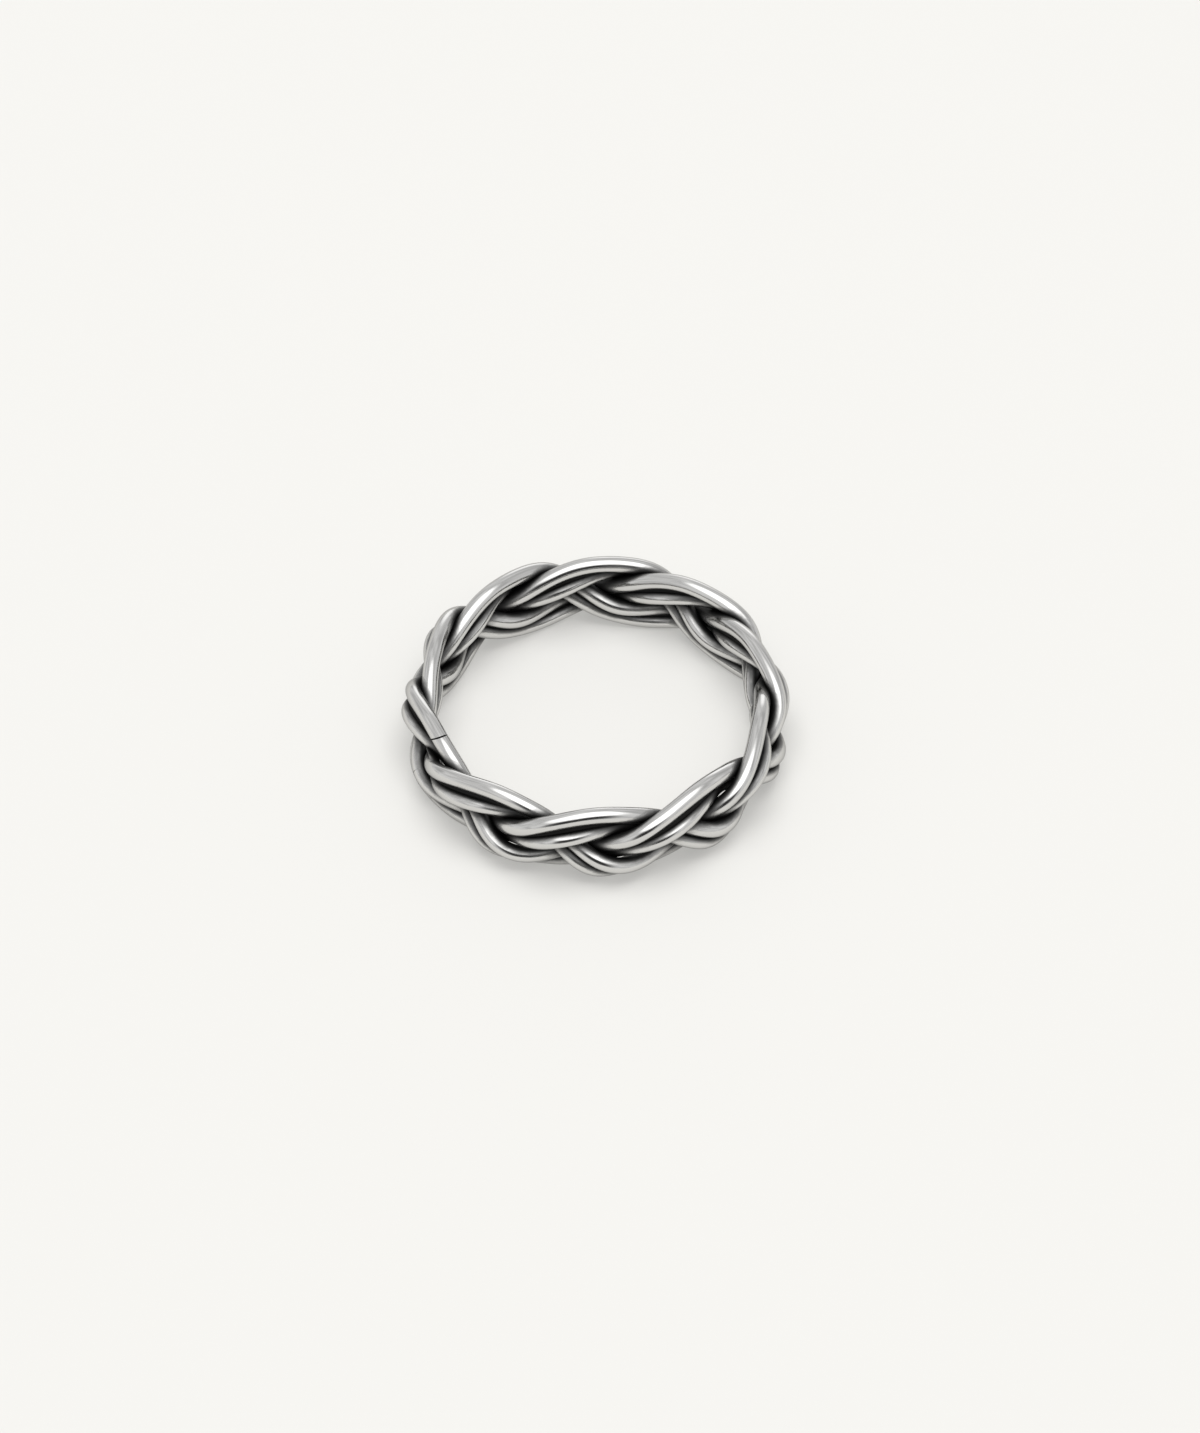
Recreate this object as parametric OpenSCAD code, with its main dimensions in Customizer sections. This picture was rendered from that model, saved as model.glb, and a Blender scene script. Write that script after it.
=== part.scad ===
// Plaited band ring of silver wire, lying on its side.
// Three strands are woven as a flat three-strand plait that runs once round the finger.
// Each strand is a pair of round wires side by side. After one turn strand a runs on
// as strand b, b as c and c as a, and their cut ends face each other at the seam.
// Real wires touch where they cross. Here they are 0.14 mm thinner, so that each stays clear.
// Millimetres, +Z up, origin at the bottom centre.

/* [Band] */
// Radius of the middle of the plaited band
band_mid_r = 10.05; // [9:0.05:12]
// Height to which each strand climbs above and below the middle of the band
climb = 1.64; // [1.62:0.01:1.7]
// Sag of a strand where it crosses the middle of the band
mid_sag = 0.05; // [0.03:0.01:0.06]
// Distance by which each strand swings out and in from the middle radius
swing = 0.57; // [0.56:0.01:0.6]
// Angle by which the swing runs ahead of the climb
swing_lead = 7; // [6:0.5:8]
// Angle round the ring by which a strand runs ahead and falls back once in its figure of eight
sway = 1.35; // [1.3:0.05:1.4]
// Angle by which the sway runs ahead of the climb
sway_lead = -75; // [-77:1:-73]
// Angle round the ring by which a strand runs ahead and falls back at each crossing
surge = 1.45; // [1.4:0.05:1.5]
// Angle by which the surge runs ahead of the climb
surge_lead = 162; // [160:1:164]

/* [Pair of wires] */
// Diameter of the upper wire of each pair, 0.92 on the real ring
upper_wire_d = 0.78; // [0.5:0.02:0.78]
// Diameter of the lower wire of each pair, 0.84 on the real ring
lower_wire_d = 0.7; // [0.5:0.02:0.7]
// Distance between the two wire centres at mid height
pair_spacing = 1.07; // [1.06:0.01:1.08]
// Share by which the pair opens on the upper edge and closes on the lower edge
pair_fanning = 0.12; // [0.1:0.01:0.14]

/* [Roll of the pair] */
// Roll added at the upper edge and taken off at the lower edge, lower wire outward
roll_at_edges = 8.5; // [8:0.5:9]
// Roll added on the outer face and taken off on the inner face
roll_on_faces = 2.5; // [2:0.5:3]
// Roll that turns the pair to and fro three times in its figure of eight
twist = 18.5; // [18:0.5:19]
// Angle by which the twist runs ahead of the climb
twist_lead = -108; // [-110:1:-106]

/* [Seam] */
// Direction of the first lobe's crest, counted round from the right
first_lobe_turn = 197; // [180:1:220]
// Place of the cut past the first lobe's crest, in lobes
cut_place = 0.15; // [-0.2:0.01:0.2]
// Width of the cut between facing wire ends
cut_w = 0.12; // [0.1:0.01:0.3]

/* [Quality] */
// Sides of each wire
wire_sides = 10; // [8:1:12]
// Rings of points along each wire
wire_rings = 96; // [80:1:104]

/* [Hidden] */

// Handwork: each lobe of the upper edge lies a little off its even place, and below some
// of them the pair is pressed over, so that one wire lies under the other.
// Columns are the lobe's letter, counted round from the seam, its extra turn, and the
// extra roll of the lower lobe that follows it.
LOBES = [
    ["s", -1.7, 8],
    ["a", 0.4, -24],
    ["b", -0.6, -26],
    ["c", 0.9, 0],
    ["d", 1.2, 0],
    ["e", 0.8, 8],
    ["f", 0.7, 0],
    ["g", 0.2, 0],
    ["h", 0.7, 0],
    ["i", -0.3, 0]
];
EXTRA_TURN = 1;
EXTRA_ROLL = 2;

// Side of the strand's middle line on which a wire lies
UPPER = 1;
LOWER = -1;
WIRES = [
    [UPPER, upper_wire_d],
    [LOWER, lower_wire_d]
];

STRANDS = 3;
lobe_count = len(LOBES);
lobe_pitch = 360 / lobe_count;
strand_phase = 360 / STRANDS;
// From one lobe to the next the upper edge passes from one strand to the next
lobe_phase = 360 / STRANDS;
crest_phase = 90;
trough_phase = 270;
half_cut = cut_w / 2 / (band_mid_r * lobe_pitch * PI / 180);
first_place = cut_place + half_cut;
last_place = cut_place + lobe_count - half_cut;
tangent_step = 0.01;

// Half an S curve from 0 to 1, flat at both ends
function ease(x) = x * x * (3 - 2 * x);

// Entry of a lobe, counted round and round
function lobe_entry(lobe, column) = LOBES[(lobe + 2 * lobe_count) % lobe_count][column];

// Extra turn of a lobe of the upper edge
function extra_turn(lobe) = lobe_entry(lobe, EXTRA_TURN);

// Where a strand is in its figure of eight: 90 is the upper edge, 270 the lower edge.
// Places are counted in lobes from the first crest.
function phase_at(place, strand) = crest_phase + lobe_phase * place + strand_phase * strand;

// Angle by which a strand runs ahead of its place, so that it lies straighter on the faces
function run_ahead(phase) =
    sway * sin(phase + sway_lead) + surge * sin(2 * phase + surge_lead);

// Angle round the ring at a place of a strand
function turn_at(place, strand) =
    let(lobe = floor(place))
    let(share = ease(place - lobe))
    first_lobe_turn + lobe_pitch * place
        + extra_turn(lobe) * (1 - share)
        + extra_turn(lobe + 1) * share
        + run_ahead(phase_at(place, strand));

// Middle line of a strand
function strand_r(phase) = band_mid_r + swing * sin(2 * phase + swing_lead);
function strand_z(phase) = climb * sin(phase) - mid_sag * cos(2 * phase);

// Lobe of the upper edge before the lower lobe that is nearest to a strand
function lobe_before(phase, strand) = 3 * round((phase - trough_phase) / 360) + 1 - strand;

// Extra roll of a lower lobe, which fades out towards the middle of the band
function extra_roll(phase, strand) =
    lobe_entry(lobe_before(phase, strand), EXTRA_ROLL) * pow(max(0, -sin(phase)), 4);

// Lean of the line from the lower wire to the upper one, 0 when it stands upright
function roll_at(phase, strand) =
    roll_at_edges * sin(phase) + roll_on_faces * sin(2 * phase)
        + twist * sin(3 * phase + twist_lead) + extra_roll(phase, strand);

// Distance of each wire of a pair from the strand's middle line
function half_spacing(phase) = pair_spacing / 2 * (1 + pair_fanning * sin(phase));

function polar(r, turn, z) = [r * cos(turn), r * sin(turn), z];

// Centre of a wire at a place
function wire_centre(place, strand, side) =
    let(phase = phase_at(place, strand))
    let(roll = roll_at(phase, strand))
    let(reach = side * half_spacing(phase))
    let(r = strand_r(phase) - reach * sin(roll))
    polar(r, turn_at(place, strand), strand_z(phase) + reach * cos(roll));

function unit(v) = v / norm(v);

// Ring of points round the wire, square to its run
function wire_ring(place, strand, side, d) =
    let(centre = wire_centre(place, strand, side))
    let(ahead = wire_centre(place + tangent_step, strand, side))
    let(behind = wire_centre(place - tangent_step, strand, side))
    let(along = unit(ahead - behind))
    let(radial = polar(1, turn_at(place, strand), 0))
    let(outward = unit(radial - (radial * along) * along))
    let(upward = cross(outward, along))
    [for (i = [0 : wire_sides - 1])
        let(a = 360 * i / wire_sides)
        centre + d / 2 * (cos(a) * outward + sin(a) * upward)];

// All points of a wire, from one side of the cut round to the other
function wire_points(strand, side, d) = [
    for (k = [0 : wire_rings - 1])
        let(place = first_place + (last_place - first_place) * k / (wire_rings - 1))
        each wire_ring(place, strand, side, d)
];

// The points of every wire as woven, which say where the surface and the centre are
woven_points = [
    for (strand = [0 : STRANDS - 1])
        for (wire = WIRES)
            each wire_points(strand, wire[0], wire[1])
];
x_all = [for (p = woven_points) p[0]];
y_all = [for (p = woven_points) p[1]];
z_all = [for (p = woven_points) p[2]];
to_origin = [
    -(min(x_all) + max(x_all)) / 2,
    -(min(y_all) + max(y_all)) / 2,
    -min(z_all)
];

// One closed wire with flat ends
module wire(strand, side, d) {
    n = wire_sides;
    skin = [
        for (k = [0 : wire_rings - 2])
            for (i = [0 : n - 1])
                let(next = (i + 1) % n)
                [k * n + i, k * n + next, (k + 1) * n + next, (k + 1) * n + i]
    ];
    first_end = [for (i = [n - 1 : -1 : 0]) i];
    last_end = [for (i = [0 : n - 1]) (wire_rings - 1) * n + i];
    polyhedron(
        points = wire_points(strand, side, d),
        faces = concat([first_end], skin, [last_end]),
        convexity = 10
    );
}

// The pair of wires that makes one strand
module strand(number) {
    translate(to_origin)
        for (w = WIRES)
            wire(number, w[0], w[1]);
}

module strand_a() {
    color([0.8, 0.8, 0.79])
        strand(0);
}

module strand_b() {
    color([0.74, 0.74, 0.73])
        strand(1);
}

module strand_c() {
    color([0.68, 0.68, 0.67])
        strand(2);
}

strand_a();
strand_b();
strand_c();
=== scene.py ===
"""Plaited band ring of oxidised silver wire, lying on its side on pale paper.

Three strands run round the finger in a flat plait. Each strand is a pair of round wires,
polished on its open faces and blackened in the gaps and under the crossings.
"""

import logging
import math
from dataclasses import dataclass, field
from enum import Enum

import bpy
import numpy as np
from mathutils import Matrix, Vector
from mathutils.bvhtree import BVHTree
from mathutils.kdtree import KDTree

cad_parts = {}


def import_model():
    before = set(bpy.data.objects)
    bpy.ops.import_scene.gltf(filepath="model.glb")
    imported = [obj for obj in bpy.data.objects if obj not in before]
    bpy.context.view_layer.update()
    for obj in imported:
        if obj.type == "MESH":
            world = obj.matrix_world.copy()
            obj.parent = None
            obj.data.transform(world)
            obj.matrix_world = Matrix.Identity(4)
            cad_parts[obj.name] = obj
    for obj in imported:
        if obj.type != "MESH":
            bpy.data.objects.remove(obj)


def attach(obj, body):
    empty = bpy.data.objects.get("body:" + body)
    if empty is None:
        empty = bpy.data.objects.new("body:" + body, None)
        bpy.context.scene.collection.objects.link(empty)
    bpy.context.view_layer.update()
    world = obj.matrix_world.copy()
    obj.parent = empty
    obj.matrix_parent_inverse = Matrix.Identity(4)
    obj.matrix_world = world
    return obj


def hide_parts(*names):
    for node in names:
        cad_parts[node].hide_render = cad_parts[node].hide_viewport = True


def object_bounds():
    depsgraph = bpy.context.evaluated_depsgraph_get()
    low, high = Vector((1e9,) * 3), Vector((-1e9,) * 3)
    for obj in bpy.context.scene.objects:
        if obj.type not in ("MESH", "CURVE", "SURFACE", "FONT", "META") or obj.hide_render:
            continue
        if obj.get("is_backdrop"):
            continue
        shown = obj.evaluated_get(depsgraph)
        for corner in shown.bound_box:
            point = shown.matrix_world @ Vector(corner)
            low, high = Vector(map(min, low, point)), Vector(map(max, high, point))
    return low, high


log = logging.getLogger("plaited_ring")

MM = 0.001
FLOAT = "NodeSocketFloat"
VECTOR = "NodeSocketVector"
# Nearly all values of a noise texture lie between these
NOISE_LOW = 0.3
NOISE_HIGH = 0.7


class Side(Enum):
    """Side of the strand's middle line on which a wire lies."""

    UPPER = 1
    LOWER = -1


class End(Enum):
    """The two ends of a wire, by the index of its first or last point."""

    START = 0
    FINISH = -1


class Strand(Enum):
    """The three strands of the plait, by the node that each one replaces."""

    A = "strand_a"
    B = "strand_b"
    C = "strand_c"

    @property
    def number(self) -> int:
        """Place of the strand in the plait, counted from 0."""
        return list(Strand).index(self)


@dataclass(frozen=True)
class Lobe:
    """One lobe of the upper edge, and how handwork moved it and the lower lobe after it.

    The extra turn takes it off its even place. The extra roll presses the pair of the lower
    lobe over, so that one wire lies under the other.
    """

    letter: str
    extra_turn: float
    extra_roll: float = 0.0


@dataclass(frozen=True)
class WireGauge:
    """A wire's diameter on the ring, and the thinner one that its solid has."""

    side: Side
    real: float
    solid: float


def unit(vectors: np.ndarray) -> np.ndarray:
    """Scale rows to length one.

    Args:
        vectors: Rows of vectors.

    Returns:
        The same rows, each of length one.
    """
    return vectors / np.linalg.norm(vectors, axis=-1, keepdims=True)


def ease(x: np.ndarray) -> np.ndarray:
    """Follow half an S curve from 0 to 1, flat at both ends.

    Args:
        x: Shares from 0 to 1.

    Returns:
        The eased shares.
    """
    return x * x * (3 - 2 * x)


@dataclass(frozen=True)
class Wave:
    """A wave that a strand follows some times over in one figure of eight."""

    size: float
    times: int
    lead: float = 0.0

    def at(self, phase: np.ndarray) -> np.ndarray:
        """Find the wave's height.

        Args:
            phase: Phases of the figure of eight in radians.

        Returns:
            Heights, in the unit of the wave's size.
        """
        return self.size * np.sin(self.times * phase + math.radians(self.lead))


@dataclass(frozen=True)
class Plait:
    """The way of the strands round the finger.

    Lengths are in metres, angles in degrees. Places along the band are counted in lobes of
    the upper edge, from the first lobe's crest.
    """

    band_mid_r: float = 10.05 * MM
    climb: Wave = Wave(1.64 * MM, 1)
    mid_sag: Wave = Wave(0.05 * MM, 2, 90.0)
    swing: Wave = Wave(0.57 * MM, 2, 7.0)
    sway: Wave = Wave(1.35, 1, -75.0)
    surge: Wave = Wave(1.45, 2, 162.0)
    pair_spacing: float = 1.07 * MM
    pair_fanning: float = 0.12
    roll_at_edges: Wave = Wave(8.5, 1)
    roll_on_faces: Wave = Wave(2.5, 2)
    twist: Wave = Wave(18.5, 3, -108.0)
    first_lobe_turn: float = 197.0
    cut_place: float = 0.15
    cut_w: float = 0.12 * MM
    crest_phase: float = 90.0
    trough_phase: float = 270.0
    extra_roll_fade: int = 4
    tangent_step: float = 0.01
    solid_sides: int = 10
    solid_rings: int = 96
    gauges: tuple[WireGauge, ...] = (
        WireGauge(Side.UPPER, 0.92 * MM, 0.78 * MM),
        WireGauge(Side.LOWER, 0.84 * MM, 0.70 * MM),
    )
    lobes: tuple[Lobe, ...] = (
        Lobe("s", -1.7, 8.0),
        Lobe("a", 0.4, -24.0),
        Lobe("b", -0.6, -26.0),
        Lobe("c", 0.9),
        Lobe("d", 1.2),
        Lobe("e", 0.8, 8.0),
        Lobe("f", 0.7),
        Lobe("g", 0.2),
        Lobe("h", 0.7),
        Lobe("i", -0.3),
    )

    @property
    def lobe_pitch(self) -> float:
        """Angle from one lobe of the upper edge to the next."""
        return 360 / len(self.lobes)

    @property
    def lobe_length(self) -> float:
        """Length of the band's middle from one lobe to the next."""
        return self.band_mid_r * math.radians(self.lobe_pitch)

    def places(self, count: int, cut_at_start: float, cut_at_finish: float) -> np.ndarray:
        """Spread places evenly from one side of the seam round to the other.

        Args:
            count: How many places.
            cut_at_start: Length missing at the start.
            cut_at_finish: Length missing at the finish.

        Returns:
            The places.
        """
        first = self.cut_place + cut_at_start / self.lobe_length
        last = self.cut_place + len(self.lobes) - cut_at_finish / self.lobe_length
        return np.linspace(first, last, count)

    def turn_at(self, place: np.ndarray, strand: int) -> np.ndarray:
        """Find the angle round the ring.

        Args:
            place: Places along the band.
            strand: The strand's number.

        Returns:
            Angles in degrees, counted round from the right.
        """
        extra = np.array([lobe.extra_turn for lobe in self.lobes])
        lobe = np.floor(place).astype(int)
        share = ease(place - lobe)
        before = extra[lobe % len(extra)] * (1 - share)
        after = extra[(lobe + 1) % len(extra)] * share
        phase = self.phase_at(place, strand)
        ahead = self.sway.at(phase) + self.surge.at(phase)
        return self.first_lobe_turn + self.lobe_pitch * place + before + after + ahead

    def phase_at(self, place: np.ndarray, strand: int) -> np.ndarray:
        """Find where a strand is in its figure of eight: at crest_phase on the upper edge.

        Args:
            place: Places along the band.
            strand: The strand's number.

        Returns:
            Phases in radians.
        """
        third = 360 / len(Strand)
        return np.radians(self.crest_phase + third * place + third * strand)

    def lobe_before(self, phase: np.ndarray, strand: int) -> np.ndarray:
        """Find the lobe of the upper edge before the lower lobe that is nearest to a strand.

        Args:
            phase: Phases in radians.
            strand: The strand's number.

        Returns:
            Indices of lobes, one for each phase.
        """
        times_round = np.round((np.degrees(phase) - self.trough_phase) / 360).astype(int)
        return (len(Strand) * times_round + 1 - strand) % len(self.lobes)

    def roll_at(self, phase: np.ndarray, strand: int) -> np.ndarray:
        """Find the lean of the line from the lower wire of a pair to the upper one.

        Args:
            phase: Phases in radians.
            strand: The strand's number.

        Returns:
            Angles in degrees, 0 where the pair stands upright.
        """
        roll = self.roll_at_edges.at(phase) + self.roll_on_faces.at(phase) + self.twist.at(phase)
        extra = np.array([lobe.extra_roll for lobe in self.lobes])
        fade = np.maximum(0, -np.sin(phase)) ** self.extra_roll_fade
        return roll + extra[self.lobe_before(phase, strand)] * fade

    def centre(self, place: np.ndarray, strand: int, side: Side) -> np.ndarray:
        """Find the centre of a wire.

        Args:
            place: Places along the band.
            strand: The strand's number.
            side: Which wire of the pair.

        Returns:
            One point for each place, with the ring's axis at x = y = 0 and its middle at z = 0.
        """
        phase = self.phase_at(place, strand)
        r = self.band_mid_r + self.swing.at(phase)
        z = self.climb.at(phase) - self.mid_sag.at(phase)
        roll = np.radians(self.roll_at(phase, strand))
        reach = side.value * self.pair_spacing / 2 * (1 + self.pair_fanning * np.sin(phase))
        r = r - reach * np.sin(roll)
        z = z + reach * np.cos(roll)
        turn = np.radians(self.turn_at(place, strand))
        return np.stack([r * np.cos(turn), r * np.sin(turn), z], axis=-1)

    def axes(self, place: np.ndarray, strand: int, side: Side) -> tuple[np.ndarray, ...]:
        """Find the directions along a wire, outward from the ring and upward.

        Args:
            place: Places along the band.
            strand: The strand's number.
            side: Which wire of the pair.

        Returns:
            Rows of unit vectors: along, outward, upward.
        """
        ahead = self.centre(place + self.tangent_step, strand, side)
        behind = self.centre(place - self.tangent_step, strand, side)
        along = unit(ahead - behind)
        turn = np.radians(self.turn_at(place, strand))
        radial = np.stack([np.cos(turn), np.sin(turn), np.zeros_like(turn)], axis=-1)
        outward = unit(radial - (radial * along).sum(-1, keepdims=True) * along)
        return along, outward, np.cross(outward, along)

    def to_origin(self) -> np.ndarray:
        """Find the shift that stands the solids on z = 0 and centres them.

        Returns:
            The shift, from the points of all six solids.
        """
        place = self.places(self.solid_rings, self.cut_w / 2, self.cut_w / 2)
        angle = np.radians(360 * np.arange(self.solid_sides) / self.solid_sides)
        low = np.full(3, np.inf)
        high = -low
        for strand in Strand:
            for gauge in self.gauges:
                centre = self.centre(place, strand.number, gauge.side)
                _, outward, upward = self.axes(place, strand.number, gauge.side)
                ring = np.cos(angle)[:, None, None] * outward + np.sin(angle)[:, None, None] * upward
                points = (centre + gauge.solid / 2 * ring).reshape(-1, 3)
                low = np.minimum(low, points.min(0))
                high = np.maximum(high, points.max(0))
        return np.array([-(low[0] + high[0]) / 2, -(low[1] + high[1]) / 2, -low[2]])


def only(obj: bpy.types.Object) -> bpy.types.Object:
    """Select one object alone and make it active.

    Args:
        obj: The object to work on.

    Returns:
        The same object.
    """
    bpy.ops.object.select_all(action="DESELECT")
    obj.select_set(True)
    bpy.context.view_layer.objects.active = obj
    return obj


def points_of(obj: bpy.types.Object) -> np.ndarray:
    """Read a mesh's points.

    Args:
        obj: The object.

    Returns:
        One row for each point.
    """
    points = np.zeros(len(obj.data.vertices) * 3, np.float32)
    obj.data.vertices.foreach_get("co", points)
    return points.reshape(-1, 3).astype(float)


def store(obj: bpy.types.Object, name: str, values: np.ndarray) -> None:
    """Store an attribute of a mesh's points.

    Args:
        obj: The object.
        name: The attribute's name.
        values: A number or a row of three for each point.
    """
    kind, key = ("FLOAT", "value") if values.ndim == 1 else ("FLOAT_VECTOR", "vector")
    stored = obj.data.attributes.new(name, kind, "POINT")
    stored.data.foreach_set(key, values.astype(np.float32).ravel())


def feed(tree: bpy.types.NodeTree, node: bpy.types.Node, feeds: dict[str | int, object]) -> None:
    """Set or link a node's inputs.

    Args:
        tree: The node tree.
        node: The node.
        feeds: A value, or another node's output, by the input's name or number.
    """
    for key, value in feeds.items():
        if isinstance(value, bpy.types.NodeSocket):
            tree.links.new(value, node.inputs[key])
        else:
            node.inputs[key].default_value = value


def add_node(
    tree: bpy.types.NodeTree,
    kind: str,
    feeds: dict[str | int, object] | None = None,
    **settings: object,
) -> bpy.types.Node:
    """Add a shader node, with its properties and inputs.

    Args:
        tree: The node tree.
        kind: The node's type name.
        feeds: A value, or another node's output, by the input's name or number.
        **settings: Properties of the node by name.

    Returns:
        The new node.
    """
    node = tree.nodes.new(kind)
    for name, value in settings.items():
        setattr(node, name, value)
    feed(tree, node, feeds or {})
    return node


def reckon(
    tree: bpy.types.NodeTree, operation: str, *terms: float | bpy.types.NodeSocket
) -> bpy.types.NodeSocket:
    """Add a math node.

    Args:
        tree: The node tree.
        operation: The node's operation.
        *terms: A number, or another node's output, for each input.

    Returns:
        The node's output.
    """
    node = add_node(tree, "ShaderNodeMath", dict(enumerate(terms)), operation=operation)
    return node.outputs[0]


def new_group(name: str, inputs: dict[str, str], outputs: dict[str, str]) -> bpy.types.NodeTree:
    """Start a shader node group with named sockets.

    Args:
        name: The group's name.
        inputs: Socket type by input name.
        outputs: Socket type by output name.

    Returns:
        The group's tree, with its input and output nodes added.
    """
    tree = bpy.data.node_groups.new(name, "ShaderNodeTree")
    for label, kind in inputs.items():
        tree.interface.new_socket(label, in_out="INPUT", socket_type=kind)
    for label, kind in outputs.items():
        tree.interface.new_socket(label, in_out="OUTPUT", socket_type=kind)
    tree.nodes.new("NodeGroupInput").name = "In"
    tree.nodes.new("NodeGroupOutput").name = "Out"
    return tree


@dataclass(frozen=True)
class PolishGroup:
    """Fine polishing lines that run along a wire, and soft smudges across it."""

    name: str = "Polishing lines"
    stretch: tuple[float, float, float] = (0.06, 1.0, 1.0)
    line_detail: float = 3.0
    line_roughness: float = 0.6
    smudge_detail: float = 2.0

    def build(self) -> bpy.types.NodeTree:
        """Build the node group.

        Returns:
            The group, with outputs Lines and Smudge from 0 to 1.
        """
        tree = new_group(
            self.name,
            {"Way": VECTOR, "Line Scale": FLOAT, "Smudge Scale": FLOAT},
            {"Lines": FLOAT, "Smudge": FLOAT},
        )
        given = tree.nodes["In"].outputs
        stretched = add_node(
            tree,
            "ShaderNodeVectorMath",
            {0: given["Way"], 1: self.stretch},
            operation="MULTIPLY",
        )
        lines = add_node(
            tree,
            "ShaderNodeTexNoise",
            {
                "Vector": stretched.outputs[0],
                "Scale": given["Line Scale"],
                "Detail": self.line_detail,
                "Roughness": self.line_roughness,
            },
        )
        smudge = add_node(
            tree,
            "ShaderNodeTexNoise",
            {
                "Vector": given["Way"],
                "Scale": given["Smudge Scale"],
                "Detail": self.smudge_detail,
            },
        )
        feed(
            tree,
            tree.nodes["Out"],
            {"Lines": lines.outputs["Fac"], "Smudge": smudge.outputs["Fac"]},
        )
        return tree


@dataclass(frozen=True)
class RecessGroup:
    """The blackened oxide that stays where a polishing wheel can't reach."""

    name: str = "Blackened recess"
    middle_grain: float = 0.5

    def build(self) -> bpy.types.NodeTree:
        """Build the node group.

        Past Clean Below, the metal turns black with the shelter that a point has. It is half
        black when the shelter is past that by Half Black Past.

        Returns:
            The group, with the output Black, from 0 on open metal to 1 in a recess.
        """
        tree = new_group(
            self.name,
            {
                "Shelter": FLOAT,
                "Grain": FLOAT,
                "Grain Share": FLOAT,
                "Clean Below": FLOAT,
                "Half Black Past": FLOAT,
                "Steepness": FLOAT,
            },
            {"Black": FLOAT},
        )
        given = tree.nodes["In"].outputs
        grain = reckon(tree, "SUBTRACT", given["Grain"], self.middle_grain)
        shelter = reckon(tree, "MULTIPLY_ADD", grain, given["Grain Share"], given["Shelter"])
        past = reckon(tree, "SUBTRACT", shelter, given["Clean Below"])
        depth = reckon(tree, "MAXIMUM", past, 0.0)
        halves = reckon(tree, "DIVIDE", depth, given["Half Black Past"])
        steep = reckon(tree, "POWER", halves, given["Steepness"])
        whole = reckon(tree, "ADD", steep, 1.0)
        feed(tree, tree.nodes["Out"], {"Black": reckon(tree, "DIVIDE", steep, whole)})
        return tree


@dataclass(frozen=True)
class OxidisedSilver:
    """Polished silver with blackened recesses. Its pattern is measured in millimetres."""

    name: str = "oxidised silver"
    polished: tuple[float, float, float] = (0.66, 0.655, 0.643)
    black: tuple[float, float, float] = (0.004, 0.004, 0.004)
    polished_roughness: float = 0.13
    smooth_share: float = 0.8
    smudged_share: float = 1.25
    black_roughness: float = 0.48
    black_metallic: float = 0.85
    edge_tint: float = 0.55
    clean_below: float = 0.012
    half_black_past: float = 0.075
    steepness: float = 1.6
    grain_share: float = 0.05
    line_scale: float = 2.6
    smudge_scale: float = 0.35
    bump_strength: float = 0.6
    bump_distance: float = 0.02 * MM

    def build(self, polish: bpy.types.NodeTree, recess: bpy.types.NodeTree) -> bpy.types.Material:
        """Build the material.

        Args:
            polish: The group of polishing lines.
            recess: The group of blackened recesses.

        Returns:
            The material.
        """
        material = bpy.data.materials.new(self.name)
        material.use_nodes = True
        tree = material.node_tree
        way = add_node(tree, "ShaderNodeAttribute", attribute_name="wire_way")
        shelter = add_node(tree, "ShaderNodeAttribute", attribute_name="shelter")
        wear = add_node(
            tree,
            "ShaderNodeGroup",
            {
                "Way": way.outputs["Vector"],
                "Line Scale": self.line_scale,
                "Smudge Scale": self.smudge_scale,
            },
            node_tree=polish,
        )
        oxide = add_node(
            tree,
            "ShaderNodeGroup",
            {
                "Shelter": shelter.outputs["Fac"],
                "Grain": wear.outputs["Smudge"],
                "Grain Share": self.grain_share,
                "Clean Below": self.clean_below,
                "Half Black Past": self.half_black_past,
                "Steepness": self.steepness,
            },
            node_tree=recess,
        )
        black = oxide.outputs["Black"]
        colour = add_node(
            tree,
            "ShaderNodeMix",
            {"Factor": black, "A": (*self.polished, 1), "B": (*self.black, 1)},
            data_type="RGBA",
        )
        gloss = add_node(
            tree,
            "ShaderNodeMapRange",
            {
                "Value": wear.outputs["Smudge"],
                "From Min": NOISE_LOW,
                "From Max": NOISE_HIGH,
                "To Min": self.polished_roughness * self.smooth_share,
                "To Max": self.polished_roughness * self.smudged_share,
            },
        )
        rough = add_node(
            tree,
            "ShaderNodeMix",
            {"Factor": black, "A": gloss.outputs["Result"], "B": self.black_roughness},
            data_type="FLOAT",
        )
        metal = add_node(
            tree,
            "ShaderNodeMapRange",
            {"Value": black, "To Min": 1.0, "To Max": self.black_metallic},
        )
        bump = add_node(
            tree,
            "ShaderNodeBump",
            {
                "Height": wear.outputs["Lines"],
                "Strength": self.bump_strength,
                "Distance": self.bump_distance,
            },
        )
        feed(
            tree,
            tree.nodes["Principled BSDF"],
            {
                "Base Color": colour.outputs["Result"],
                "Metallic": metal.outputs["Result"],
                "Roughness": rough.outputs["Result"],
                "Specular Tint": (self.edge_tint, self.edge_tint, self.edge_tint, 1),
                "Normal": bump.outputs["Normal"],
            },
        )
        return material


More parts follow.
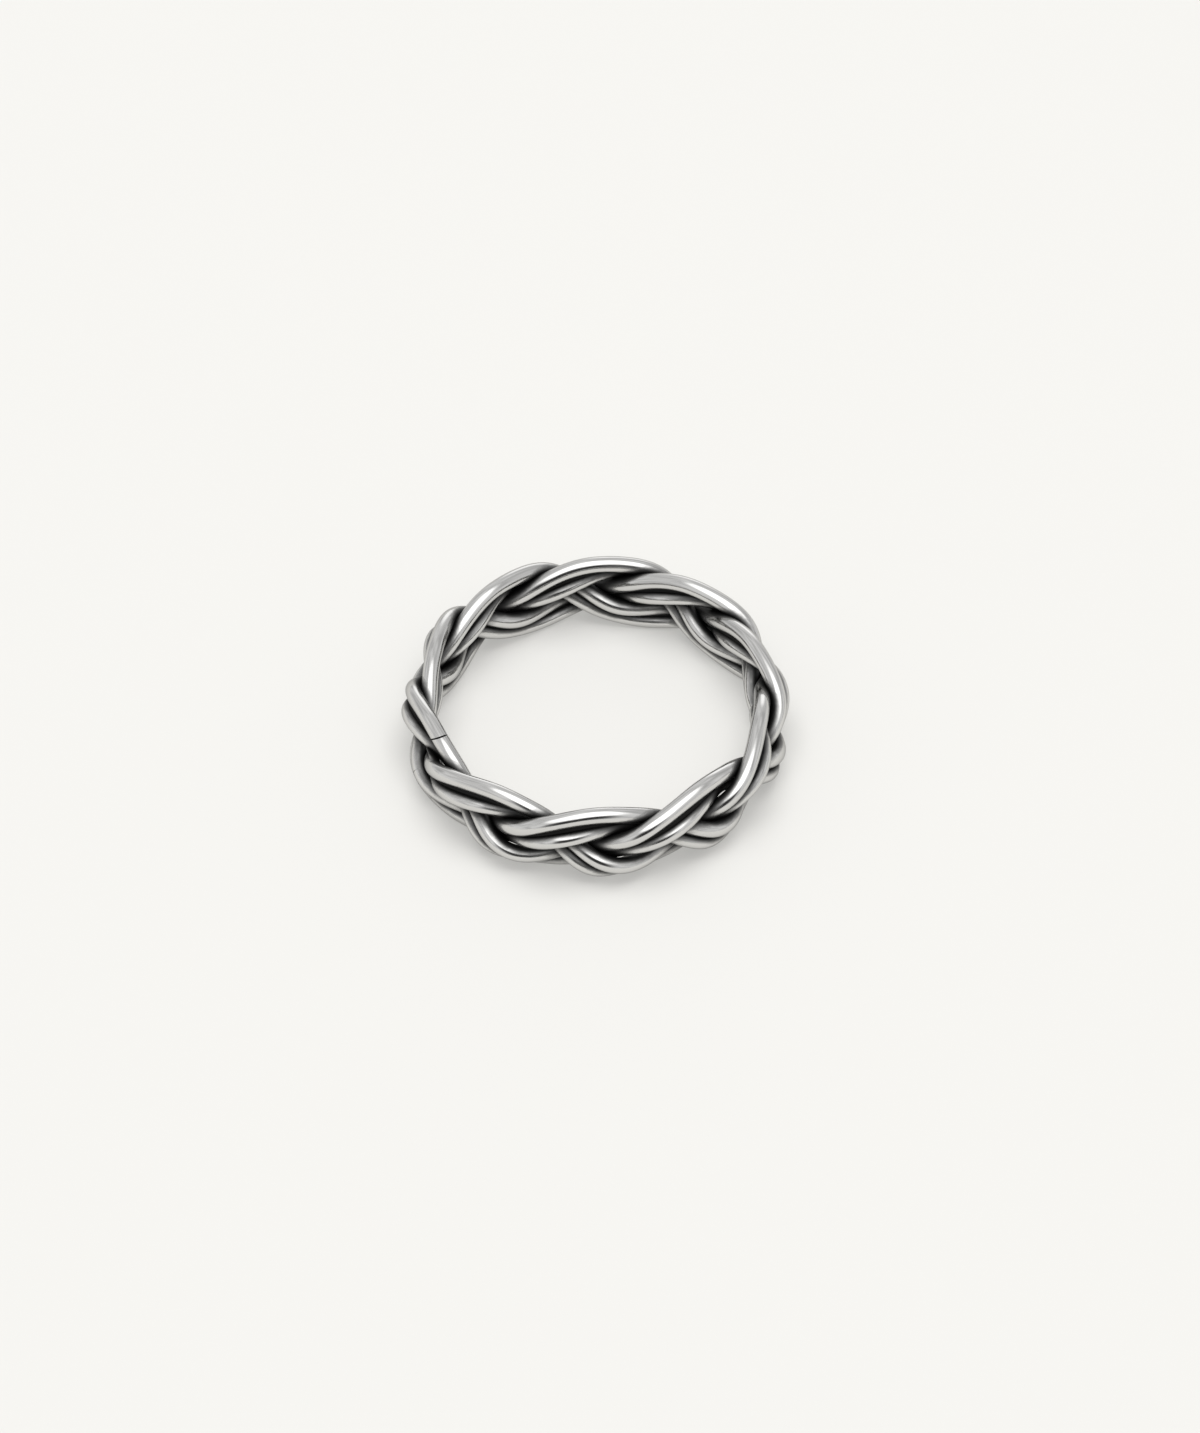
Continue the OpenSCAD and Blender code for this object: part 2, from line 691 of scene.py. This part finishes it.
@dataclass(frozen=True)
class MattePaper:
    """Off-white matte paper, with a painted glow of its own that lightens the shadows on it."""

    name: str = "off-white paper"
    colour: tuple[float, float, float] = (0.282, 0.279, 0.269)
    # Painted fill light: the paper glows by itself, which lifts the shadows on it
    painted_fill_glow: tuple[float, float, float] = (0.35, 0.347, 0.336)
    roughness: float = 0.9
    specular: float = 0.1
    grain: float = 0.004
    grain_scale: float = 60.0
    grain_detail: float = 2.0

    def build(self) -> bpy.types.Material:
        """Build the material.

        Returns:
            The material.
        """
        material = bpy.data.materials.new(self.name)
        material.use_nodes = True
        tree = material.node_tree
        place = add_node(tree, "ShaderNodeTexCoord")
        noise = add_node(
            tree,
            "ShaderNodeTexNoise",
            {
                "Vector": place.outputs["Object"],
                "Scale": self.grain_scale,
                "Detail": self.grain_detail,
            },
        )
        dark = (tone * (1 - self.grain) for tone in self.colour)
        light = (tone * (1 + self.grain) for tone in self.colour)
        tint = add_node(
            tree,
            "ShaderNodeMix",
            {"Factor": noise.outputs["Fac"], "A": (*dark, 1), "B": (*light, 1)},
            data_type="RGBA",
        )
        feed(
            tree,
            tree.nodes["Principled BSDF"],
            {
                "Base Color": tint.outputs["Result"],
                "Roughness": self.roughness,
                "Specular IOR Level": self.specular,
                # The paper's painted glow, which lightens its shadows
                "Emission Color": (*self.painted_fill_glow, 1),
                "Emission Strength": 1.0,
            },
        )
        return material


@dataclass
class BraidedBand:
    """The three strands of the plait, each a pair of silver wires.

    The wires are press wider than their gauge, so that they press on each other and no light
    comes through, and the plait has only height_share of its height, to keep to its box.
    """

    plait: Plait = field(default_factory=Plait)
    finish: OxidisedSilver = field(default_factory=OxidisedSilver)
    rings: int = 520
    bevel_steps: int = 12
    height_share: float = 0.980
    press: float = 0.04 * MM
    smooth_below: float = 40.0
    cut_w: float = 0.07 * MM
    cut_tilt: float = 36.0
    tilt_reach: float = 1.4 * MM
    rim: float = 0.07 * MM
    rim_steps: int = 3
    groove_fill: float = 0.46 * MM
    groove_steps: int = 2
    unevenness: float = 0.012 * MM
    unevenness_length: float = 1.9 * MM
    upper_pattern_starts: float = 600.0
    shelter_reach: float = 1.8 * MM
    shelter_rays: int = 32
    shelter_lift: float = 0.01 * MM
    # The one cut that shows: all others are closed and polished over
    open_ends: dict[tuple[Strand, Side], End] = field(
        default_factory=lambda: {
            (Strand.C, Side.UPPER): End.FINISH,
            (Strand.A, Side.UPPER): End.START,
        }
    )
    pieces: dict[Strand, bpy.types.Object] = field(default_factory=dict)

    def build(self) -> None:
        """Build, dress and mount all strands."""
        shift = self.plait.to_origin()
        for strand in Strand:
            self.pieces[strand] = self.build_strand(strand, shift)
        self.mark_shelter()
        self.dress()
        for strand, piece in self.pieces.items():
            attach(piece, "root")
            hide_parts(strand.value)
            log.info("%s: %d faces", piece.name, len(piece.data.polygons))

    def build_strand(self, strand: Strand, shift: np.ndarray) -> bpy.types.Object:
        """Build the pair of wires of one strand, with the groove between them, as one piece.

        Args:
            strand: The strand.
            shift: Shift from the ring's middle to the frame.

        Returns:
            The piece.
        """
        wires = [self.build_wire(strand, gauge, shift) for gauge in self.plait.gauges]
        wires.append(self.build_groove(strand, shift))
        only(wires[0])
        for wire in wires:
            wire.select_set(True)
        bpy.ops.object.join()
        piece = bpy.context.view_layer.objects.active
        piece.name = strand.value + "_wires"
        piece.data.name = piece.name
        only(piece)
        bpy.ops.object.shade_smooth_by_angle(angle=math.radians(self.smooth_below))
        return piece

    def build_wire(self, strand: Strand, gauge: WireGauge, shift: np.ndarray) -> bpy.types.Object:
        """Build one wire from one side of the seam round to the other.

        Its end at the open cut is rounded off and tilted. A closed end is split from the skin,
        so that it leaves no mark.

        Args:
            strand: The strand that it belongs to.
            gauge: The wire's side and diameters.
            shift: Shift from the ring's middle to the frame.

        Returns:
            The wire as a mesh, with an attribute for its pattern.
        """
        open_end = self.open_ends.get((strand, gauge.side))
        cuts = [self.cut_w / 2 if end is open_end else 0.0 for end in End]
        place = self.plait.places(self.rings, *cuts)
        centre = self.settled(self.plait.centre(place, strand.number, gauge.side)) + shift
        name = f"{strand.value}_{gauge.side.name.lower()}"
        wire = self.build_tube(name, centre, gauge.real + self.press, self.bevel_steps)
        if open_end is not None:
            self.enter_cap(wire, centre[open_end.value], gauge.real)
            bpy.ops.mesh.bevel(offset=self.rim, segments=self.rim_steps, affect="EDGES")
            bpy.ops.object.mode_set(mode="OBJECT")
            _, _, upward = self.plait.axes(place, strand.number, gauge.side)
            self.tilt_end(wire, centre, upward[open_end.value], open_end)
        self.mark_way(wire, strand, gauge, shift)
        self.make_uneven(wire)
        for end in End:
            if end is not open_end:
                self.enter_cap(wire, centre[end.value], gauge.real)
                bpy.ops.mesh.edge_split(type="EDGE")
                bpy.ops.object.mode_set(mode="OBJECT")
        return wire

    def build_groove(self, strand: Strand, shift: np.ndarray) -> bpy.types.Object:
        """Build the blackened filling between the two wires of a strand.

        Args:
            strand: The strand.
            shift: Shift from the ring's middle to the frame.

        Returns:
            The filling as a mesh, with attributes for its pattern and for its shelter.
        """
        place = self.plait.places(self.rings // 2, 0.0, 0.0)
        pair = [self.plait.centre(place, strand.number, gauge.side) for gauge in self.plait.gauges]
        middle = self.settled((pair[0] + pair[1]) / 2)
        name = strand.value + "_groove"
        groove = self.build_tube(name, middle + shift, self.groove_fill, self.groove_steps)
        points = points_of(groove)
        store(groove, "wire_way", points / MM)
        store(groove, "filling", np.ones(len(points)))
        return groove

    def settled(self, centre: np.ndarray) -> np.ndarray:
        """Lower the plait's height to height_share.

        Args:
            centre: Points with the ring's middle at z = 0.

        Returns:
            The same points, closer to the middle.
        """
        return centre * np.array([1.0, 1.0, self.height_share])

    def build_tube(
        self, name: str, centre: np.ndarray, diameter: float, bevel_steps: int
    ) -> bpy.types.Object:
        """Build a round closed tube along a line.

        Args:
            name: The tube's name.
            centre: The line's points.
            diameter: The tube's diameter.
            bevel_steps: How finely the tube is rounded.

        Returns:
            The tube as a mesh.
        """
        curve = bpy.data.curves.new(name, "CURVE")
        curve.dimensions = "3D"
        curve.bevel_depth = diameter / 2
        curve.bevel_resolution = bevel_steps
        curve.use_fill_caps = True
        spline = curve.splines.new("POLY")
        spline.points.add(len(centre) - 1)
        line = np.concatenate([centre, np.ones((len(centre), 1))], axis=1)
        spline.points.foreach_set("co", line.ravel())
        tube = bpy.data.objects.new(curve.name, curve)
        bpy.context.scene.collection.objects.link(tube)
        only(tube)
        bpy.ops.object.convert(target="MESH")
        return bpy.context.view_layer.objects.active

    def tilt_end(
        self, wire: bpy.types.Object, centre: np.ndarray, upward: np.ndarray, end: End
    ) -> None:
        """Tilt a wire's end face, so that its upper side lies further on round the ring.

        Args:
            wire: The wire.
            centre: Its middle line.
            upward: Unit vector across the wire, upward, at the end.
            end: Which end.
        """
        tip = centre[end.value]
        along = unit(centre[1] - centre[0] if end is End.START else centre[-1] - centre[-2])
        points = points_of(wire)
        away = points - tip
        # The wire's other end, past the cut, stays as it is
        near = np.clip(1 - np.abs(away @ along) / self.tilt_reach, 0, 1)
        near[np.linalg.norm(away, axis=1) > self.tilt_reach] = 0
        push = math.tan(math.radians(self.cut_tilt)) * (away @ upward) * near
        points += push[:, None] * along
        wire.data.vertices.foreach_set("co", points.astype(np.float32).ravel())
        wire.data.update()

    def enter_cap(self, wire: bpy.types.Object, tip: np.ndarray, diameter: float) -> None:
        """Enter edit mode with one end face of a wire selected.

        Args:
            wire: The wire.
            tip: The end of its middle line.
            diameter: The wire's diameter.
        """
        only(wire)
        # The two caps are the only faces with more than four corners
        for face in wire.data.polygons:
            at_tip = (face.center - Vector(tip)).length < diameter / 4
            face.select = len(face.vertices) > 4 and at_tip
        bpy.context.tool_settings.mesh_select_mode = (False, False, True)
        bpy.ops.object.mode_set(mode="EDIT")

    def mark_way(
        self, wire: bpy.types.Object, strand: Strand, gauge: WireGauge, shift: np.ndarray
    ) -> None:
        """Store each point's way along and round its wire, in millimetres.

        Args:
            wire: The wire.
            strand: The strand that it belongs to.
            gauge: The wire's side and diameters.
            shift: Shift from the ring's middle to the frame.
        """
        points = points_of(wire) - shift
        samples = self.plait.places(self.rings, 0.0, 0.0)
        line = self.plait.centre(samples, strand.number, gauge.side)
        finder = KDTree(len(line))
        for index, point in enumerate(line.tolist()):
            finder.insert(point, index)
        finder.balance()
        nearest = np.array([finder.find(point)[1] for point in points.tolist()])
        place = samples[nearest]
        away = points - line[nearest]
        _, outward, upward = self.plait.axes(place, strand.number, gauge.side)
        around = np.arctan2((away * upward).sum(-1), (away * outward).sum(-1))
        radius = gauge.real / 2 / MM
        # The run goes on from strand to strand, so that nothing shows where they meet
        run = (place + len(self.plait.lobes) * strand.number) * self.plait.lobe_length / MM
        if gauge.side is Side.UPPER:
            run += self.upper_pattern_starts
        way = np.stack([run, radius * np.cos(around), radius * np.sin(around)], axis=-1)
        store(wire, "wire_way", way)

    def make_uneven(self, wire: bpy.types.Object) -> None:
        """Give the wire the slight waves that drawing, bending and polishing leave.

        Args:
            wire: The wire.
        """
        waves = bpy.data.textures.new(wire.name + "_waves", "CLOUDS")
        waves.noise_scale = self.unevenness_length
        waves.noise_depth = 1
        displace = wire.modifiers.new("Waves", "DISPLACE")
        displace.texture = waves
        displace.texture_coords = "LOCAL"
        displace.strength = self.unevenness
        only(wire)
        bpy.ops.object.modifier_apply(modifier=displace.name)
        bpy.data.textures.remove(waves)

    def mark_shelter(self) -> None:
        """Store how sheltered each point is from a polishing wheel, from 0 to 1."""
        corners = []
        faces = []
        for piece in self.pieces.values():
            start = sum(len(part) for part in corners)
            corners.append(points_of(piece))
            faces += [[start + v for v in face.vertices] for face in piece.data.polygons]
        tree = BVHTree.FromPolygons(np.concatenate(corners).tolist(), faces)
        spread = self.hemisphere()
        for piece in self.pieces.values():
            mesh = piece.data
            normals = np.zeros(len(mesh.vertices) * 3, np.float32)
            mesh.vertex_normals.foreach_get("vector", normals)
            values = self.shelter_of(tree, points_of(piece), normals.reshape(-1, 3), spread)
            filling = np.zeros(len(mesh.vertices), np.float32)
            # The wires, which have no such attribute of their own, read 0
            mesh.attributes["filling"].data.foreach_get("value", filling)
            store(piece, "shelter", np.maximum(values, filling))

    def hemisphere(self) -> np.ndarray:
        """Spread rays over a half sphere, more of them near its middle.

        Returns:
            Unit vectors about +Z.
        """
        i = np.arange(self.shelter_rays) + 0.5
        rise = np.sqrt(1 - i / self.shelter_rays)
        flat = np.sqrt(1 - rise * rise)
        # Steps of the golden angle lie evenly
        turn = i * math.pi * (3 - math.sqrt(5))
        return np.stack([flat * np.cos(turn), flat * np.sin(turn), rise], axis=-1)

    def shelter_of(
        self, tree: BVHTree, points: np.ndarray, normals: np.ndarray, spread: np.ndarray
    ) -> np.ndarray:
        """Measure how much other metal stands close in front of each point.

        Args:
            tree: All wires.
            points: The points.
            normals: The surface's direction at each point.
            spread: Rays about +Z.

        Returns:
            Shares from 0, open, to 1, closed in.
        """
        # Any direction well away from the normal
        helper = np.where(np.abs(normals[:, 2:3]) < 0.9, [[0.0, 0.0, 1.0]], [[1.0, 0.0, 0.0]])
        first = unit(np.cross(helper, normals))
        second = np.cross(normals, first)
        rays = (
            spread[:, 0][None, :, None] * first[:, None]
            + spread[:, 1][None, :, None] * second[:, None]
            + spread[:, 2][None, :, None] * normals[:, None]
        )
        starts = points + normals * self.shelter_lift
        values = np.zeros(len(points), np.float32)
        for index, (start, bundle) in enumerate(zip(starts.tolist(), rays.tolist())):
            closed = 0.0
            for ray in bundle:
                distance = tree.ray_cast(start, ray, self.shelter_reach)[3]
                if distance is not None:
                    closed += 1 - distance / self.shelter_reach
            values[index] = closed / len(bundle)
        return values

    def dress(self) -> None:
        """Give every strand its silver."""
        material = self.finish.build(PolishGroup().build(), RecessGroup().build())
        for piece in self.pieces.values():
            piece.data.materials.clear()
            piece.data.materials.append(material)


def direction_of(elevation: float, azimuth: float) -> Vector:
    """Turn two angles into a direction.

    Args:
        elevation: Degrees above the horizon.
        azimuth: Degrees round from the far side, 90 at the right and 180 at the camera's side.

    Returns:
        The unit vector from the ring to that place.
    """
    up = math.radians(elevation)
    turn = math.radians(azimuth)
    return Vector((math.sin(turn) * math.cos(up), math.cos(turn) * math.cos(up), math.sin(up)))


@dataclass(frozen=True)
class RoomPatch:
    """A round patch of the room. It is whole within inner degrees and gone past outer."""

    elevation: float
    azimuth: float
    inner: float
    outer: float
    brightness: float

    def lay_over(
        self,
        tree: bpy.types.NodeTree,
        view: bpy.types.NodeSocket,
        behind: bpy.types.NodeSocket,
    ) -> bpy.types.NodeSocket:
        """Lay the patch over the room.

        Args:
            tree: The world's node tree.
            view: The output that gives directions.
            behind: Brightness of what lies behind the patch.

        Returns:
            The brightness with the patch on it.
        """
        towards = add_node(
            tree,
            "ShaderNodeVectorMath",
            {0: view, 1: direction_of(self.elevation, self.azimuth)},
            operation="DOT_PRODUCT",
        )
        within = add_node(
            tree,
            "ShaderNodeMapRange",
            {
                "Value": towards.outputs["Value"],
                "From Min": math.cos(math.radians(self.outer)),
                "From Max": math.cos(math.radians(self.inner)),
            },
            interpolation_type="SMOOTHSTEP",
        )
        level = add_node(
            tree,
            "ShaderNodeMix",
            {"Factor": within.outputs["Result"], "A": behind, "B": self.brightness},
            data_type="FLOAT",
        )
        return level.outputs["Result"]


@dataclass(frozen=True)
class Card:
    """A flat light that faces the ring: where it hangs, its size and its brightness."""

    name: str
    elevation: float
    azimuth: float
    distance: float
    width: float
    height: float
    brightness: float

    def hang(self, ring_middle: Vector, served: bpy.types.Object) -> None:
        """Hang the light.

        Args:
            ring_middle: The point that it faces.
            served: The one object that it lights.
        """
        data = bpy.data.lights.new(self.name, "AREA")
        data.shape = "RECTANGLE"
        data.size = self.width
        data.size_y = self.height
        data.energy = self.brightness * math.pi * self.width * self.height
        lamp = bpy.data.objects.new(self.name, data)
        bpy.context.scene.collection.objects.link(lamp)
        direction = direction_of(self.elevation, self.azimuth)
        lamp.location = ring_middle + direction * self.distance
        lamp.rotation_euler = direction.to_track_quat("Z", "Y").to_euler()
        receivers = bpy.data.collections.new(self.name + "_serves")
        receivers.objects.link(served)
        lamp.light_linking.receiver_collection = receivers


@dataclass
class Studio:
    """The pale surface, the room that the silver mirrors, and the camera."""

    ring_middle: Vector
    floor_z: float
    floor_size: float = 4.0
    camera_distance: float = 0.5
    camera_elevation: float = 47.887
    camera_azimuth: float = 180.0
    sensor_height: float = 36.0
    focal_length: float = 216.82
    aim_right: float = 0.250 * MM
    aim_up: float = -0.102 * MM
    room_low: float = 0.52
    room_high: float = 0.88
    room_scale: float = 2.4
    room_detail: float = 1.0
    dark_side: RoomPatch = RoomPatch(
        elevation=24.0, azimuth=176.0, inner=12.0, outer=34.0, brightness=0.04
    )
    far_window: RoomPatch = RoomPatch(
        elevation=10.0, azimuth=6.0, inner=4.0, outer=20.0, brightness=1.5
    )
    softbox: RoomPatch = RoomPatch(
        elevation=72.0, azimuth=162.0, inner=22.0, outer=42.0, brightness=2.0
    )
    paper_light: Card = Card(
        "paper_light",
        elevation=88.0,
        azimuth=0.0,
        distance=1.0,
        width=0.8,
        height=0.8,
        brightness=6.0,
    )

    def build(self) -> None:
        """Build the surface, the light and the camera."""
        floor = self.build_floor()
        self.build_room()
        self.paper_light.hang(self.ring_middle, floor)
        self.build_camera()

    def build_floor(self) -> bpy.types.Object:
        """Lay the paper.

        Returns:
            The paper.
        """
        bpy.ops.object.select_all(action="DESELECT")
        bpy.ops.mesh.primitive_plane_add(size=self.floor_size, location=(0, 0, self.floor_z))
        floor = bpy.context.view_layer.objects.active
        floor.name = "paper_surface"
        bpy.ops.object.transform_apply(location=True, rotation=False, scale=False)
        floor.data.materials.append(MattePaper().build())
        floor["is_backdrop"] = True
        return floor

    def build_room(self) -> None:
        """Make the room: grey all round, with its dark and bright patches."""
        world = bpy.data.worlds.new("Room")
        bpy.context.scene.world = world
        world.use_nodes = True
        tree = world.node_tree
        view = add_node(tree, "ShaderNodeTexCoord").outputs["Generated"]
        things = add_node(
            tree,
            "ShaderNodeTexNoise",
            {"Vector": view, "Scale": self.room_scale, "Detail": self.room_detail},
        )
        level = add_node(
            tree,
            "ShaderNodeMapRange",
            {
                "Value": things.outputs["Fac"],
                "From Min": NOISE_LOW,
                "From Max": NOISE_HIGH,
                "To Min": self.room_low,
                "To Max": self.room_high,
            },
            interpolation_type="SMOOTHSTEP",
        )
        brightness = level.outputs["Result"]
        for patch in (self.dark_side, self.far_window, self.softbox):
            brightness = patch.lay_over(tree, view, brightness)
        feed(tree, tree.nodes["Background"], {"Color": brightness, "Strength": 1.0})

    def build_camera(self) -> None:
        """Stand the camera at the photograph's angle."""
        data = bpy.data.cameras.new("Camera")
        data.sensor_fit = "VERTICAL"
        data.sensor_height = self.sensor_height
        data.lens = self.focal_length
        data.clip_start = 0.01
        data.clip_end = 20.0
        camera = bpy.data.objects.new("Camera", data)
        bpy.context.scene.collection.objects.link(camera)
        direction = direction_of(self.camera_elevation, self.camera_azimuth)
        turn = direction.to_track_quat("Z", "Y")
        right = turn @ Vector((1, 0, 0))
        up = turn @ Vector((0, 1, 0))
        aim = self.ring_middle + right * self.aim_right + up * self.aim_up
        camera.location = aim + direction * self.camera_distance
        camera.rotation_euler = turn.to_euler()
        bpy.context.scene.camera = camera


def main() -> None:
    """Build the ring and the studio."""
    logging.basicConfig(level=logging.INFO, format="%(name)s: %(message)s")
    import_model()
    bpy.ops.object.select_all(action="DESELECT")
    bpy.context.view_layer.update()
    bpy.context.scene.view_settings.view_transform = "Standard"
    band = BraidedBand()
    band.build()
    Studio(ring_middle=Vector(band.plait.to_origin()), floor_z=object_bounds()[0][2]).build()


if __name__ == "__main__":
    main()
